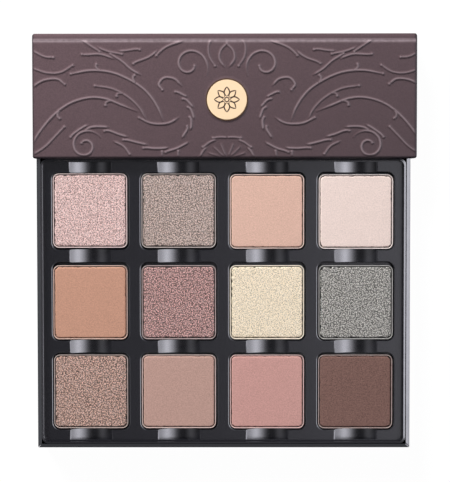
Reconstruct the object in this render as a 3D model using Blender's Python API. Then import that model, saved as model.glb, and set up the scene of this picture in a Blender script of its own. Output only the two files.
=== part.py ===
"""Eyeshadow palette: a black paper-wrapped board tray with twelve loose pressed-powder pans,
and a short embossed slip sleeve that rides along the tray and comes off its top edge.

Frame: metres, +Z up. The palette lies flat. The origin is the middle of its footprint, at the
height of the table: +X runs along the tray's width and +Y towards the end where the sleeve waits.
The tray is drawn about the centre of its own underside and is put in place by one empty.
Sizes below are in millimetres and are turned into metres where meshes and empties are made.
"""
import math

import bmesh
import bpy
from mathutils import Vector

MM = 0.001
GAP = 0.05                      # assembly gap between glued or nested pieces

# Tray: greyboard box wrapped in black paper
TRAY_WIDTH = 132.5
TRAY_LENGTH = 104.3
TRAY_HEIGHT = 9.4
TRAY_WALL = 1.2                 # board with paper on both sides
TRAY_PAPER = 0.15
TRAY_CORNER = 0.3
RIM_CHAMFER = 0.2
BASE_BOARD = 1.4
MAGNET_SHEET = 0.6

# Moulded insert that holds the pans
INSERT_PLAY = 0.15              # to the tray's inner walls
INSERT_CORNER = 2.6
INSERT_FLOOR = 0.65             # plastic left under a well
LIP_WIDTH = 0.8
LIP_TAPER = 0.2
LIP_BELOW_RIM = 0.2
DECK_BELOW_RIM = 2.4
WELL_WIDTH = 27.2
WELL_CORNER = 2.5
CHANNEL_WIDTH = 15.0            # concave finger channel under each column of pans
CHANNEL_DEPTH = 2.6
CHANNEL_STEPS = 14

# Pans and powders
COLUMN_PITCH = 31.5
COLUMN_SHIFT = -0.1             # all columns sit this far off the tray's middle
WELL_ROWS = ((32.2, 27.4), (-0.05, 27.9), (-32.3, 27.4))      # middle and length of the wells
# How far each loose pan leans in its well along X and Y, by row and column
PAN_LEAN = (((-0.15, 0.15), (-0.1, 0.1), (-0.15, -0.2), (0.0, -0.3)),
            ((-0.15, -0.35), (-0.1, -0.35), (-0.15, -0.35), (0.0, -0.4)),
            ((-0.05, -0.05), (-0.15, -0.05), (-0.15, -0.1), (-0.1, -0.15)))
PAN_SIZE = 26.5
PAN_CORNER = 2.1
PAN_WALL = 0.4
PAN_FLOOR = 0.3
PAN_HEIGHT = 4.2
POWDER_EDGE_DROP = 0.3          # powder edge below the pan's rim
POWDER_CROWN = 0.05             # powder face above the pan's rim
POWDER_SHOULDER = 0.5

# Slip sleeve: wrapped board tube, open at both ends
SLEEVE_WIDTH = 135.8
SLEEVE_LENGTH = 44.0
SLEEVE_WALL = 1.1
SLEEVE_PAPER = 0.25
SLEEVE_LINING = 0.2
SLEEVE_HEADROOM = 0.3           # above the tray's rim and below its underside
SLEEVE_OVERLAP = 1.3            # tray length still inside the sleeve's mouth
SLEEVE_SIDE_SHIFT = 0.47        # the sleeve leans this far towards +X in its side play
SLEEVE_CORNER = 0.3
MOUTH_ROUND = (2.0, 0.95)       # rounded mouth: length along Y, depth into the wall
MOUTH_STEPS = 5
TURN_IN = 6.0                   # wrap paper folded into each mouth
BOARD_SET_BACK = 1.3            # sleeve boards stop short of the rounded mouths

EMBLEM_DIAMETER = 14.9
EMBLEM_THICKNESS = 0.1
EMBLEM_OFFSET = (0.8, -1.25)    # from the middle of the sleeve's front
EMBLEM_SIDES = 48

CORNER_STEPS = 3

# Pressed powders by row and column: sRGB colour and whether the powder shimmers
SHADES = (
    (("pale_pink", (213, 184, 178), True), ("taupe", (166, 148, 140), True),
     ("peach", (221, 180, 165), False), ("cream", (233, 214, 206), False)),
    (("terracotta", (196, 147, 127), False), ("mauve_brown", (154, 122, 117), True),
     ("pale_gold", (232, 217, 190), True), ("green_grey", (136, 134, 126), True)),
    (("bronze", (160, 133, 120), True), ("taupe_pink", (183, 149, 138), False),
     ("dusty_rose", (195, 150, 143), False), ("dark_brown", (120, 91, 84), False)),
)

BLACK_PAPER = (30, 30, 33)
BLACK_PLASTIC = (22, 22, 25)
GREYBOARD = (150, 143, 132)
MAGNET_BLACK = (38, 36, 35)
TINPLATE = (205, 202, 198)
BROWN_PAPER = (98, 82, 86)
LINING_PAPER = (36, 33, 34)
CREAM_FOIL = (245, 216, 172)


def clear_scene():
    """Remove whatever the scene holds, then drop the meshes that are left unused."""
    for obj in list(bpy.data.objects):
        bpy.data.objects.remove(obj, do_unlink=True)
    for mesh in list(bpy.data.meshes):
        bpy.data.meshes.remove(mesh)


def linear(value):
    """One sRGB channel, 0 to 255, as a linear colour value."""
    share = value / 255.0
    return share / 12.92 if share <= 0.04045 else ((share + 0.055) / 1.055) ** 2.4


def make_material(name, rgb, roughness, metallic=0.0):
    material = bpy.data.materials.new(name)
    material.use_nodes = True
    shader = material.node_tree.nodes["Principled BSDF"]
    shader.inputs["Base Color"].default_value = (*(linear(value) for value in rgb), 1.0)
    shader.inputs["Roughness"].default_value = roughness
    shader.inputs["Metallic"].default_value = metallic
    return material


def make_empty(name, location, parent=None):
    """A guide that marks where a body sits; location in millimetres, in its parent's frame."""
    empty = bpy.data.objects.new(name, None)
    empty.location = Vector(location) * MM
    empty.parent = parent
    bpy.context.collection.objects.link(empty)
    return empty


def finish_object(name, mesh, material, parent):
    obj = bpy.data.objects.new(name, mesh)
    bpy.context.collection.objects.link(obj)
    if material is not None:
        mesh.materials.append(material)
    obj.parent = parent
    return obj


def loft_mesh(name, loops, ring=False):
    """Skin a row of point loops in millimetres: capped at both ends, or joined into a ring."""
    work = bmesh.new()
    rows = [[work.verts.new(Vector(point) * MM) for point in loop] for loop in loops]
    count = len(rows[0])
    following = rows[1:] + rows[:1] if ring else rows[1:]
    for row, after in zip(rows, following):
        for index in range(count):
            turn = (index + 1) % count
            work.faces.new((row[index], row[turn], after[turn], after[index]))
    if not ring:
        work.faces.new(rows[0])
        work.faces.new(rows[-1])
    bmesh.ops.recalc_face_normals(work, faces=work.faces)
    mesh = bpy.data.meshes.new(name)
    work.to_mesh(mesh)
    work.free()
    return mesh


def box_mesh(name, low, high):
    """An upright box between two opposite corners, in millimetres."""
    loops = []
    for z in (low[2], high[2]):
        loops.append([(low[0], low[1], z), (high[0], low[1], z),
                      (high[0], high[1], z), (low[0], high[1], z)])
    return loft_mesh(name, loops)


def rounded_rectangle(half_x, half_y, radius, steps=CORNER_STEPS):
    """Points of a rounded rectangle about the origin, counter-clockwise."""
    points = []
    corners = ((1, 1, 0), (-1, 1, 90), (-1, -1, 180), (1, -1, 270))
    for side_x, side_y, start in corners:
        for step in range(steps + 1):
            angle = math.radians(start + 90 * step / steps)
            points.append((side_x * (half_x - radius) + radius * math.cos(angle),
                           side_y * (half_y - radius) + radius * math.sin(angle)))
    return points


def flat_loop(size, inset, radius, z, steps=CORNER_STEPS):
    """A level loop at height z, set in from a rectangle of the given full size."""
    outline = rounded_rectangle(size[0] / 2 - inset, size[1] / 2 - inset, radius, steps)
    return [(x, y, z) for x, y in outline]


def tray_corner(inset):
    return max(TRAY_CORNER - inset, 0.1)


def build_tray_wrap(material, parent):
    """One sheet of paper: underside, outer walls, over the rim and down the inner walls."""
    size = (TRAY_WIDTH, TRAY_LENGTH)
    top = TRAY_HEIGHT
    turned_edge = TRAY_PAPER + GAP + BASE_BOARD + GAP
    inner = TRAY_WALL - TRAY_PAPER
    profile = (
        (0.0, 0.0),
        (0.0, top - RIM_CHAMFER),
        (RIM_CHAMFER, top),
        (TRAY_WALL - RIM_CHAMFER, top),
        (TRAY_WALL, top - RIM_CHAMFER),
        (TRAY_WALL, turned_edge),
        (inner, turned_edge),
        (inner, top - TRAY_PAPER),
        (TRAY_PAPER, top - TRAY_PAPER),
        (TRAY_PAPER, TRAY_PAPER),
    )
    loops = [flat_loop(size, inset, tray_corner(inset), z, 2) for inset, z in profile]
    finish_object("tray_wrap", loft_mesh("tray_wrap", loops), material, parent)


def build_tray_boards(material, parent):
    """Base board and four wall boards inside the wrap."""
    low_z = TRAY_PAPER + GAP
    high_z = TRAY_HEIGHT - TRAY_PAPER - GAP
    outer = TRAY_PAPER + GAP
    inner = TRAY_WALL - TRAY_PAPER - GAP
    half_x = TRAY_WIDTH / 2
    half_y = TRAY_LENGTH / 2
    end_x = half_x - inner - GAP
    boxes = {
        "tray_board_right": ((half_x - inner, outer - half_y, low_z),
                             (half_x - outer, half_y - outer, high_z)),
        "tray_board_left": ((outer - half_x, outer - half_y, low_z),
                            (inner - half_x, half_y - outer, high_z)),
        "tray_board_top": ((-end_x, half_y - inner, low_z), (end_x, half_y - outer, high_z)),
        "tray_board_bottom": ((-end_x, outer - half_y, low_z), (end_x, inner - half_y, high_z)),
        "tray_base_board": ((-end_x, inner + GAP - half_y, low_z),
                            (end_x, half_y - inner - GAP, low_z + BASE_BOARD)),
    }
    for name, (low, high) in boxes.items():
        finish_object(name, box_mesh(name, low, high), material, parent)


def insert_size():
    shrink = 2 * (TRAY_WALL + INSERT_PLAY)
    return TRAY_WIDTH - shrink, TRAY_LENGTH - shrink


def magnet_bottom():
    return TRAY_PAPER + GAP + BASE_BOARD + GAP


def insert_bottom():
    return magnet_bottom() + MAGNET_SHEET + GAP


def well_floor():
    return insert_bottom() + INSERT_FLOOR


def deck_height():
    return TRAY_HEIGHT - DECK_BELOW_RIM


def build_magnet_sheet(material, parent):
    """Flexible magnet sheet on the base board; it holds the tinplate pans."""
    low_z = magnet_bottom()
    loops = [flat_loop(insert_size(), 0.0, 1.0, z) for z in (low_z, low_z + MAGNET_SHEET)]
    finish_object("magnet_sheet", loft_mesh("magnet_sheet", loops), material, parent)


def column_centres():
    return [COLUMN_PITCH * (column - 1.5) + COLUMN_SHIFT for column in range(4)]


def channel_mesh(centre_x):
    """A bar with a round underside: the finger channel of one column, as a cutter."""
    half = CHANNEL_WIDTH / 2
    radius = (half ** 2 + CHANNEL_DEPTH ** 2) / (2 * CHANNEL_DEPTH)
    centre_z = deck_height() - CHANNEL_DEPTH + radius
    sweep = math.asin(half / radius)
    above = 1.0
    section = [(half, deck_height() + above), (-half, deck_height() + above)]
    for step in range(CHANNEL_STEPS + 1):
        angle = sweep * (2 * step / CHANNEL_STEPS - 1)
        section.append((radius * math.sin(angle), centre_z - radius * math.cos(angle)))
    reach = insert_size()[1] / 2 - LIP_WIDTH - LIP_TAPER - GAP
    loops = [[(centre_x + x, y, z) for x, z in section] for y in (-reach, reach)]
    return loft_mesh("channel_cutter", loops)


def well_mesh(centre_x, centre_y, length):
    above = 1.5
    loops = []
    for z in (well_floor(), deck_height() + above):
        outline = flat_loop((WELL_WIDTH, length), 0.0, WELL_CORNER, z)
        loops.append([(centre_x + x, centre_y + y, z) for x, y, z in outline])
    return loft_mesh("well_cutter", loops)


def build_insert(material, parent):
    """Moulded tray: raised lip, sunk deck, twelve wells and four finger channels."""
    size = insert_size()
    lip_top = TRAY_HEIGHT - LIP_BELOW_RIM
    profile = (
        (0.0, insert_bottom()),
        (0.0, lip_top - 0.15),
        (0.15, lip_top),
        (LIP_WIDTH, lip_top),
        (LIP_WIDTH + LIP_TAPER, deck_height()),
    )
    loops = [flat_loop(size, inset, INSERT_CORNER - inset, z) for inset, z in profile]
    insert = finish_object("tray_insert", loft_mesh("tray_insert", loops), material, parent)

    cutters = bpy.data.collections.new("insert_cutters")
    bpy.context.scene.collection.children.link(cutters)
    meshes = [channel_mesh(x) for x in column_centres()]
    meshes += [well_mesh(x, y, length) for x in column_centres() for y, length in WELL_ROWS]
    for mesh in meshes:
        cutter = bpy.data.objects.new(mesh.name, mesh)
        cutter.parent = parent
        cutter.hide_render = True
        cutter.display_type = "WIRE"
        cutters.objects.link(cutter)
    cut = insert.modifiers.new("wells_and_channels", "BOOLEAN")
    cut.operation = "DIFFERENCE"
    cut.solver = "EXACT"
    cut.operand_type = "COLLECTION"
    cut.collection = cutters


def pan_mesh():
    """Stamped tinplate pan about its own centre, floor at z = 0."""
    size = (PAN_SIZE, PAN_SIZE)
    floor_bend = 0.3
    rim_bend = 0.1
    profile = (
        (floor_bend, 0.0),
        (0.0, floor_bend),
        (0.0, PAN_HEIGHT - rim_bend),
        (rim_bend, PAN_HEIGHT),
        (PAN_WALL - rim_bend, PAN_HEIGHT),
        (PAN_WALL, PAN_HEIGHT - rim_bend),
        (PAN_WALL, PAN_FLOOR),
    )
    return loft_mesh("pan", [flat_loop(size, d, PAN_CORNER - d, z) for d, z in profile])


def powder_mesh():
    """Pressed cake inside the pan, its shoulder rising to a face just above the rim."""
    size = (PAN_SIZE, PAN_SIZE)
    edge = PAN_WALL + GAP
    profile = (
        (edge, PAN_FLOOR + GAP),
        (edge, PAN_HEIGHT - POWDER_EDGE_DROP),
        (edge + POWDER_SHOULDER, PAN_HEIGHT + POWDER_CROWN),
    )
    return loft_mesh("powder", [flat_loop(size, d, PAN_CORNER - d, z) for d, z in profile])


def build_pans(tinplate, parent):
    shared_pan = pan_mesh()
    shared_pan.materials.append(tinplate)
    for row, (centre_y, _length) in enumerate(WELL_ROWS):
        for column, centre_x in enumerate(column_centres()):
            shade, rgb, shimmers = SHADES[row][column]
            place = f"row{row + 1}_col{column + 1}"
            lean_x, lean_y = PAN_LEAN[row][column]
            seat = (centre_x + lean_x, centre_y + lean_y, well_floor() + GAP)
            lift = make_empty(f"lift_{place}", seat, parent)
            finish_object(f"pan_{place}", shared_pan, None, lift)
            powder = make_material(f"powder_{shade}", rgb, 0.45 if shimmers else 0.9,
                                   0.3 if shimmers else 0.0)
            finish_object(f"powder_{place}", powder_mesh(), powder, lift)


def sleeve_height():
    return TRAY_HEIGHT + 2 * (SLEEVE_HEADROOM + SLEEVE_WALL)


def sleeve_loop(inset, y):
    """A loop round the sleeve, set in from its outer surface, at distance y along it."""
    radius = max(SLEEVE_CORNER - inset, 0.1)
    outline = rounded_rectangle(SLEEVE_WIDTH / 2 - inset, sleeve_height() / 2 - inset, radius, 2)
    return [(x, y, z) for x, z in outline]


def mouth_profile():
    """Inset and distance from the sleeve's middle, from the outer skin round to the turn-in."""
    half = SLEEVE_LENGTH / 2
    along, depth = MOUTH_ROUND
    points = []
    for step in range(MOUTH_STEPS + 1):
        angle = math.radians(90 * step / MOUTH_STEPS)
        points.append((depth * (1 - math.cos(angle)), half - along + along * math.sin(angle)))
    lining_side = SLEEVE_WALL - SLEEVE_LINING
    points += [
        (SLEEVE_WALL, half - 0.25),
        (SLEEVE_WALL, half - TURN_IN),
        (lining_side, half - TURN_IN),
        (lining_side, half - BOARD_SET_BACK + GAP),
        (SLEEVE_PAPER, half - BOARD_SET_BACK + GAP),
    ]
    return points


def build_sleeve_wrap(material, parent):
    """Embossed paper skin, folded round both mouths into the tube."""
    near = mouth_profile()
    far = [(inset, -y) for inset, y in reversed(near)]
    loops = [sleeve_loop(inset, y) for inset, y in near + far]
    finish_object("sleeve_wrap", loft_mesh("sleeve_wrap", loops, ring=True), material, parent)


def build_sleeve_lining(material, parent):
    """Paper tube glued inside between the two turn-ins."""
    reach = SLEEVE_LENGTH / 2 - TURN_IN - GAP
    outer = SLEEVE_WALL - SLEEVE_LINING + 0.01
    profile = ((outer, -reach), (outer, reach), (SLEEVE_WALL, reach), (SLEEVE_WALL, -reach))
    loops = [sleeve_loop(inset, y) for inset, y in profile]
    finish_object("sleeve_lining", loft_mesh("sleeve_lining", loops, ring=True), material, parent)


def build_sleeve_boards(material, parent):
    """Front and back boards, with a narrow board down each side between them."""
    outer = SLEEVE_PAPER + GAP
    inner = SLEEVE_WALL - SLEEVE_LINING - GAP
    half_x = SLEEVE_WIDTH / 2
    half_z = sleeve_height() / 2
    reach = SLEEVE_LENGTH / 2 - BOARD_SET_BACK
    side_z = half_z - inner - GAP
    boxes = {
        "sleeve_board_front": ((outer - half_x, half_z - inner), (half_x - outer, half_z - outer)),
        "sleeve_board_back": ((outer - half_x, outer - half_z), (half_x - outer, inner - half_z)),
        "sleeve_board_left": ((outer - half_x, -side_z), (inner - half_x, side_z)),
        "sleeve_board_right": ((half_x - inner, -side_z), (half_x - outer, side_z)),
    }
    for name, (low, high) in boxes.items():
        mesh = box_mesh(name, (low[0], -reach, low[1]), (high[0], reach, high[1]))
        finish_object(name, mesh, material, parent)


def build_emblem(material, parent):
    """Round foil label on the sleeve's front."""
    radius = EMBLEM_DIAMETER / 2
    bottom = sleeve_height() / 2 + GAP
    loops = []
    for z in (bottom, bottom + EMBLEM_THICKNESS):
        turns = (2 * math.pi * index / EMBLEM_SIDES for index in range(EMBLEM_SIDES))
        loops.append([(EMBLEM_OFFSET[0] + radius * math.cos(turn),
                       EMBLEM_OFFSET[1] + radius * math.sin(turn), z) for turn in turns])
    mesh = loft_mesh("emblem_disc", loops)
    finish_object("emblem_disc", mesh, material, parent)


def build_sleeve(greyboard, parent):
    middle_y = TRAY_LENGTH / 2 - SLEEVE_OVERLAP + SLEEVE_LENGTH / 2
    centre = (SLEEVE_SIDE_SHIFT, middle_y, TRAY_HEIGHT / 2)
    axis = make_empty("sleeve_slide_axis", centre, parent)
    build_sleeve_wrap(make_material("brown_paper", BROWN_PAPER, 0.55), axis)
    build_sleeve_lining(make_material("lining_paper", LINING_PAPER, 0.8), axis)
    build_sleeve_boards(greyboard, axis)
    build_emblem(make_material("cream_foil", CREAM_FOIL, 0.35, 0.5), axis)


def build_tray(greyboard, parent):
    build_tray_wrap(make_material("black_paper", BLACK_PAPER, 0.35), parent)
    build_tray_boards(greyboard, parent)
    build_magnet_sheet(make_material("magnet_sheet", MAGNET_BLACK, 0.7), parent)
    build_insert(make_material("black_plastic", BLACK_PLASTIC, 0.25), parent)


def tray_place():
    """Where the tray's underside sits, so that the footprint's middle is at the origin."""
    middle_y = (SLEEVE_LENGTH - SLEEVE_OVERLAP) / 2
    return -SLEEVE_SIDE_SHIFT, -middle_y, SLEEVE_HEADROOM + SLEEVE_WALL


def main():
    clear_scene()
    greyboard = make_material("greyboard", GREYBOARD, 0.95)
    palette = make_empty("palette", tray_place())
    build_tray(greyboard, palette)
    build_pans(make_material("tinplate", TINPLATE, 0.3, 1.0), palette)
    build_sleeve(greyboard, palette)


main()
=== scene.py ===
"""Looks of the eyeshadow palette: embossed slip sleeve, paper-wrapped tray, moulded insert,
tinplate pans and pressed powders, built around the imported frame. Metres, +Z up; outlines and
profiles are written in millimetres and scaled once, where a mesh is made."""
import math

import bmesh
import bpy
import numpy as np
from mathutils import Matrix, Vector, noise
from mathutils.kdtree import KDTree


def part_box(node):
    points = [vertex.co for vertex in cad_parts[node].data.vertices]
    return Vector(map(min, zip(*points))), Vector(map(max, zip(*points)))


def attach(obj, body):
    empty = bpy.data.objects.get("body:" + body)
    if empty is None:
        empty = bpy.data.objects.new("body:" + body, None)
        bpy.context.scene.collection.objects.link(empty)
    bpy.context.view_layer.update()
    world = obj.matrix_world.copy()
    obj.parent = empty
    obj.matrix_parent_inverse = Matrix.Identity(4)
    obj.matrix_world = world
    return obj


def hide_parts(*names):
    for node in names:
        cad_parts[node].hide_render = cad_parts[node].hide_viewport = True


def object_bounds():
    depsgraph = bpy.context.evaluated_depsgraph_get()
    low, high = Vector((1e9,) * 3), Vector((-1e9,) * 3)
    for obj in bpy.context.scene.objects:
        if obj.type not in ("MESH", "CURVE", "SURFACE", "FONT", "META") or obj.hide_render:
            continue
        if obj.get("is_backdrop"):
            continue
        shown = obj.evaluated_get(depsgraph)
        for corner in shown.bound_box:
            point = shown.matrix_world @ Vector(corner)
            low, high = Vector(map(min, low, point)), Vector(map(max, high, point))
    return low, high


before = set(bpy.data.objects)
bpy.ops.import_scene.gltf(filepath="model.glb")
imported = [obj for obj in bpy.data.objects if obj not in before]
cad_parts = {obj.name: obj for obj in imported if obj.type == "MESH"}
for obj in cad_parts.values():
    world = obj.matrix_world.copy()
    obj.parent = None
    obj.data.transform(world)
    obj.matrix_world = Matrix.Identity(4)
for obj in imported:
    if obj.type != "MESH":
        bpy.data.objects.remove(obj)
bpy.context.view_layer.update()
MM = 0.001

# Tray and insert
TRAY_WALL = 1.2
TRAY_PAPER = 0.15
TRAY_FLOOR = 1.65               # top of the base board above the underside
RIM_FALL = 0.39                 # the rim slopes down towards the outside by this much
LIP_WIDTH = 0.7
DECK_BELOW_LIP = 2.2
INSERT_CORNER = 2.6
LIP_LEAN = 0.3                  # the lip is this much wider on the right than its mean
WELL_WIDTH = 27.2
WELL_CORNER = 2.5
WELL_DEPTH = 3.9
WELL_EDGE_ROUND = 0.45
COLUMN_CENTRES = (-47.35, -15.85, 15.65, 47.15)
WELL_ROWS = ((32.2, 27.4), (-0.05, 27.9), (-32.3, 27.4))      # middle and length of the wells
CHANNEL_WIDTH = 15.7
CHANNEL_DEPTH = 2.6
CHANNEL_EDGE_ROUND = 1.0

# Pans and powders
PAN_CORNER = 2.1
PAN_WALL = 0.36
RIM_ROLL = 0.17
PAN_BEND = 0.45                 # radius between the pan's floor and its walls
POWDER_PLAY = 0.05
POWDER_SET_BACK = 0.16          # the trench's width inside the pan's rim
POWDER_SHOULDER = (0.42, 0.3)   # width and drop
TRENCH_DEPTH = 0.95

# Sleeve
SLEEVE_WALL = 1.1
SLEEVE_CORNER = 0.55
MOUTH_ROUND = (0.9, 0.95)       # lower mouth, and the corners of both in plan
# Upper mouth: how far the face has dropped at each distance from the end
MOUTH_BEVEL = ((0.02, 1.88), (0.06, 1.72), (0.13, 1.5), (0.22, 1.25), (0.32, 1.0), (0.42, 0.75),
               (0.53, 0.5), (0.63, 0.3), (0.74, 0.14), (0.85, 0.04), (0.95, 0.0))
MOUTH_BEAD = (2.15, 0.12)       # upper mouth: distance from the end, height
TURN_IN = 6.0
TURNED_PAPER = 0.2              # thickness of the paper that is turned in
SKIN_DEPTH = 0.35               # the outer paper with its relief
FACE_STEP = 0.2
FACE_SINK = 0.2                 # plain paper lies this far below the face of the CAD node
RIDGE_HEIGHT = 0.34
RIDGE_WIDTH = 0.45

# Boards end this much lower than in the CAD, and earlier at the sleeve's upper mouth, to stay
# under the sloping paper
TRAY_BOARD_TRIM = (0.35, 0.0)
SLEEVE_BOARD_TRIM = (0.1, 0.6)
BOARD_EDGE = 0.06

# Light
BANK_RADIANCE = 4.0
AMBIENT = 0.06
FILL_SHARE = 0.15               # how much of the panels' light reaches matte surfaces


# ---------------------------------------------------------------- mesh tools

def quads_between(rows, count, ring):
    """Faces that join consecutive loops of `count` points each."""
    faces = []
    pairs = rows if ring else rows - 1
    for row in range(pairs):
        start = row * count
        after = ((row + 1) % rows) * count
        for index in range(count):
            turn = (index + 1) % count
            faces.append((start + index, start + turn, after + turn, after + index))
    return faces


def add_piece(name, points, faces, centre, sharp_degrees=40.0):
    """A closed mesh from points in millimetres about `centre`, normals out, shaded smooth."""
    mesh = bpy.data.meshes.new(name)
    placed = np.asarray(points, float) * MM + np.array(centre)
    mesh.from_pydata(placed.tolist(), [], faces)
    work = bmesh.new()
    work.from_mesh(mesh)
    bmesh.ops.recalc_face_normals(work, faces=work.faces)
    work.to_mesh(mesh)
    work.free()
    mesh.shade_smooth()
    mesh.set_sharp_from_angle(angle=math.radians(sharp_degrees))
    piece = bpy.data.objects.new(name, mesh)
    bpy.context.collection.objects.link(piece)
    return piece


def loft(name, loops, centre, ring=False, sharp_degrees=40.0):
    """Skin loops of points in millimetres: capped at both ends, or joined into a ring."""
    count = len(loops[0])
    faces = quads_between(len(loops), count, ring)
    if not ring:
        faces.append(tuple(range(count)))
        last = (len(loops) - 1) * count
        faces.append(tuple(range(last, last + count)))
    points = [point for loop in loops for point in loop]
    return add_piece(name, points, faces, centre, sharp_degrees)


def rounded_path(half_x, half_y, radius, corner_steps, side_steps, gather=False):
    """Rounded rectangle as points, counter-clockwise, with extra points along its sides,
    evenly spread or gathered towards the corners."""
    arcs = []
    for side_x, side_y, start in ((1, 1, 0), (-1, 1, 90), (-1, -1, 180), (1, -1, 270)):
        arc = []
        for step in range(corner_steps + 1):
            angle = math.radians(start + 90 * step / corner_steps)
            arc.append((side_x * (half_x - radius) + radius * math.cos(angle),
                        side_y * (half_y - radius) + radius * math.sin(angle)))
        arcs.append(arc)
    points = []
    for index, arc in enumerate(arcs):
        points += arc
        end, start = arc[-1], arcs[(index + 1) % 4][0]
        for step in range(1, side_steps):
            share = 0.5 - 0.5 * math.cos(math.pi * step / side_steps) if gather else step / side_steps
            points.append((end[0] + (start[0] - end[0]) * share,
                           end[1] + (start[1] - end[1]) * share))
    return points


def quarter_round(along, depth, steps):
    """Offsets of a quarter ellipse from (0, 0) to (along, depth), flat at first."""
    turns = [math.radians(90 * step / steps) for step in range(steps + 1)]
    return [(along * math.sin(turn), depth * (1 - math.cos(turn))) for turn in turns]


def node_box(node):
    """Middle of a CAD node's box in metres, and its size in millimetres."""
    low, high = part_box(node)
    return (low + high) / 2, (high - low) / MM


def node_foot(node):
    """Middle of the underside of a CAD node's box."""
    foot = node_box(node)[0]
    foot.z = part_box(node)[0].z
    return foot


def dress(piece, material, node, body):
    """Finish a piece that stands for one CAD node."""
    piece.data.materials.append(material)
    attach(piece, body)
    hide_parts(node)


# ---------------------------------------------------------------- materials

def linear(rgb):
    """sRGB 0 to 255 as a linear colour with alpha."""
    shares = [value / 255.0 for value in rgb]
    curve = [s / 12.92 if s <= 0.04045 else ((s + 0.055) / 1.055) ** 2.4 for s in shares]
    return (*curve, 1.0)


class Shader:
    """A node material with short calls for the few nodes that the palette needs."""

    def __init__(self, name, rgb, roughness, metallic=0.0, specular=0.5):
        self.material = bpy.data.materials.new(name)
        self.material.use_nodes = True
        self.tree = self.material.node_tree
        self.surface = self.tree.nodes["Principled BSDF"]
        self.place = self.node("ShaderNodeTexCoord").outputs["Object"]
        self.colour = None
        self.height = None
        self.set("Base Color", linear(rgb))
        self.set("Roughness", roughness)
        self.set("Metallic", metallic)
        self.set("Specular IOR Level", specular)

    def node(self, kind, **settings):
        made = self.tree.nodes.new(kind)
        for key, value in settings.items():
            setattr(made, key, value)
        return made

    def link(self, source, target):
        self.tree.links.new(source, target)

    def set(self, socket, value):
        self.surface.inputs[socket].default_value = value

    def noise(self, size_mm, detail=2.0, rough=0.5, stretch=(1, 1, 1)):
        """Noise with features of about size_mm, 0 to 1."""
        spread = self.node("ShaderNodeMapping")
        spread.inputs["Scale"].default_value = stretch
        self.link(self.place, spread.inputs["Vector"])
        texture = self.node("ShaderNodeTexNoise")
        self.link(spread.outputs["Vector"], texture.inputs["Vector"])
        texture.inputs["Scale"].default_value = 1.0 / (size_mm * MM)
        texture.inputs["Detail"].default_value = detail
        texture.inputs["Roughness"].default_value = rough
        return texture.outputs["Fac"]

    def cells(self, size_mm):
        """Flat grains of about size_mm: a random value per grain, and the distance from its
        middle in grain sizes."""
        texture = self.node("ShaderNodeTexVoronoi", voronoi_dimensions="2D")
        self.link(self.place, texture.inputs["Vector"])
        texture.inputs["Scale"].default_value = 1.0 / (size_mm * MM)
        split = self.node("ShaderNodeSeparateColor")
        self.link(texture.outputs["Color"], split.inputs["Color"])
        return split.outputs["Red"], texture.outputs["Distance"]

    def product(self, first, second):
        made = self.node("ShaderNodeMath", operation="MULTIPLY")
        self.link(first, made.inputs[0])
        self.link(second, made.inputs[1])
        return made.outputs["Value"]

    def along(self, direction):
        """Position along a direction, in metres."""
        dot = self.node("ShaderNodeVectorMath", operation="DOT_PRODUCT")
        self.link(self.place, dot.inputs[0])
        dot.inputs[1].default_value = direction
        return dot.outputs["Value"]

    def attribute(self, name):
        return self.node("ShaderNodeAttribute", attribute_name=name).outputs["Fac"]

    def remap(self, value, low, high, to_low, to_high):
        change = self.node("ShaderNodeMapRange", clamp=True)
        self.link(value, change.inputs["Value"])
        for socket, number in zip(("From Min", "From Max", "To Min", "To Max"),
                                  (low, high, to_low, to_high)):
            change.inputs[socket].default_value = number
        return change.outputs["Result"]

    def tint(self, mask, rgb, mode="MIX"):
        """Blend another colour over the base colour where mask is 1."""
        mix = self.node("ShaderNodeMix", data_type="RGBA", blend_type=mode)
        self.link(mask, mix.inputs["Factor"])
        below, above = [socket for socket in mix.inputs if socket.type == "RGBA"]
        if self.colour is None:
            below.default_value = self.surface.inputs["Base Color"].default_value
        else:
            self.link(self.colour, below)
        above.default_value = linear(rgb)
        self.colour = [socket for socket in mix.outputs if socket.type == "RGBA"][0]
        self.link(self.colour, self.surface.inputs["Base Color"])

    def bump(self, value, height_mm, strength=1.0):
        bump = self.node("ShaderNodeBump")
        bump.inputs["Distance"].default_value = height_mm * MM
        bump.inputs["Strength"].default_value = strength
        self.link(value, bump.inputs["Height"])
        if self.height is not None:
            self.link(self.height, bump.inputs["Normal"])
        self.height = bump.outputs["Normal"]
        self.link(self.height, self.surface.inputs["Normal"])

    def drive(self, socket, value):
        self.link(value, self.surface.inputs[socket])


def shade(rgb, factor):
    """Lighter or darker colour of the same hue."""
    factor = min(factor, 255 / max(rgb))
    return tuple(channel * factor for channel in rgb)


def embossed_paper():
    base = (85, 69, 72)
    paper = Shader("embossed_paper", base, 0.5, specular=0.4)
    paper.tint(paper.remap(paper.noise(9.0, 3.0), 0.35, 0.7, 0.0, 0.35), shade(base, 0.9))
    paper.tint(paper.remap(paper.noise(0.45, 3.0), 0.35, 0.65, 0.0, 0.8), shade(base, 1.14))
    # painted shade: the face grows darker towards the right and the lower mouth
    paper.tint(paper.remap(paper.along((0.7, -1.3, 0.0)), -0.13, 0.02, 0.0, 0.7), shade(base, 0.72))
    # painted shade along the sleeve's side edges, its lower mouth and a band on its upper bevel
    paper.tint(paper.remap(paper.attribute("painted_shade"), 0.0, 1.0, 0.0, 0.8), (38, 33, 37))
    # painted highlight along the upper crease and on the relief's crests, with real wear at the folded
    # corners
    paper.tint(paper.remap(paper.attribute("wear_and_highlight"), 0.0, 1.0, 0.0, 0.55), (190, 172, 176))
    paper.drive("Roughness", paper.remap(paper.noise(0.8, 3.0), 0.3, 0.7, 0.44, 0.6))
    paper.bump(paper.noise(0.16, 3.0), 0.02)
    paper.bump(paper.noise(0.9, 2.0), 0.03)
    return paper.material


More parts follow.
